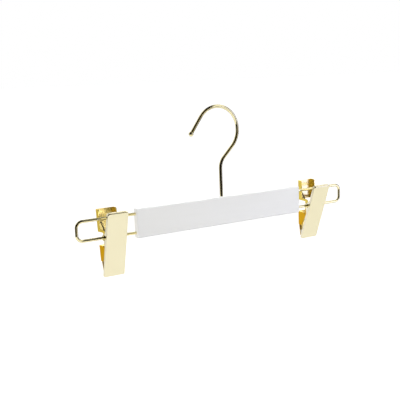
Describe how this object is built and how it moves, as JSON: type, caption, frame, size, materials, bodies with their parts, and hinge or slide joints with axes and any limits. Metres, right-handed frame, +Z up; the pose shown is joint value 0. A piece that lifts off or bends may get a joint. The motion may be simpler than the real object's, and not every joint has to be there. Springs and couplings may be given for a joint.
{
  "type": "skirt hanger",
  "caption": "Flat lacquered bar on a swivelling wire hook, with a sprung sheet-metal clip on a wire loop at each end, to hang a skirt or trousers by the waistband.",
  "frame": {"origin": "on the hook's swivel axis, at the height where the inside of the hook's crown rests on a rod", "axes": "+X along the bar to the right clip, -Y towards the clips' front plates, +Z up"},
  "size_m": [0.332, 0.0342, 0.1607],
  "materials": {
    "lacquer": "white satin lacquer",
    "gold": "polished pale gold plating on steel",
    "bush": "plain turned metal",
    "spring": "drawn wire",
    "pad": "soft matt"
  },
  "bodies": {
    "hook": {"hook": "gold", "hook_tip": "gold"},
    "bar": {"bar": "lacquer", "hook_bush": "bush", "hook_washer": "bush", "left_loop": "gold", "right_loop": "gold"},
    "left_tube": {"left_pivot_tube": "gold"},
    "left_rear": {"left_rear_plate": "gold", "left_rear_pad": "pad", "left_spring": "spring"},
    "left_front": {"left_front_plate": "gold", "left_front_pad": "pad"},
    "right_tube": {"right_pivot_tube": "gold"},
    "right_rear": {"right_rear_plate": "gold", "right_rear_pad": "pad", "right_spring": "spring"},
    "right_front": {"right_front_plate": "gold", "right_front_pad": "pad"}
  },
  "joints": [
    {"name": "hook_swivel", "type": "hinge", "parent": "hook", "child": "bar", "pos_m": [0, 0, -0.0925], "axis": [0, 0, 1], "continuous": true},
    {"name": "left_clip_slide", "type": "slide", "parent": "bar", "child": "left_tube", "axis": [1, 0, 0], "range_m": [-0.02, 0.012]},
    {"name": "left_clip_swing", "type": "hinge", "parent": "left_tube", "child": "left_rear", "pos_m": [-0.126, 0, -0.117], "axis": [-1, 0, 0], "range_deg": [-21, 2]},
    {"name": "left_clip_open", "type": "hinge", "parent": "left_rear", "child": "left_front", "pos_m": [-0.126, 0, -0.117], "axis": [-1, 0, 0], "range_deg": [0, 16], "stiffness_Nm_per_rad": 0.19, "springref_deg": -57.3, "deforming": ["left_spring"]},
    {"name": "right_clip_slide", "type": "slide", "parent": "bar", "child": "right_tube", "axis": [-1, 0, 0], "range_m": [-0.02, 0.012]},
    {"name": "right_clip_swing", "type": "hinge", "parent": "right_tube", "child": "right_rear", "pos_m": [0.126, 0, -0.117], "axis": [-1, 0, 0], "range_deg": [-14, 8]},
    {"name": "right_clip_open", "type": "hinge", "parent": "right_rear", "child": "right_front", "pos_m": [0.126, 0, -0.117], "axis": [-1, 0, 0], "range_deg": [0, 16], "stiffness_Nm_per_rad": 0.19, "springref_deg": -57.3, "deforming": ["right_spring"]}
  ]
}
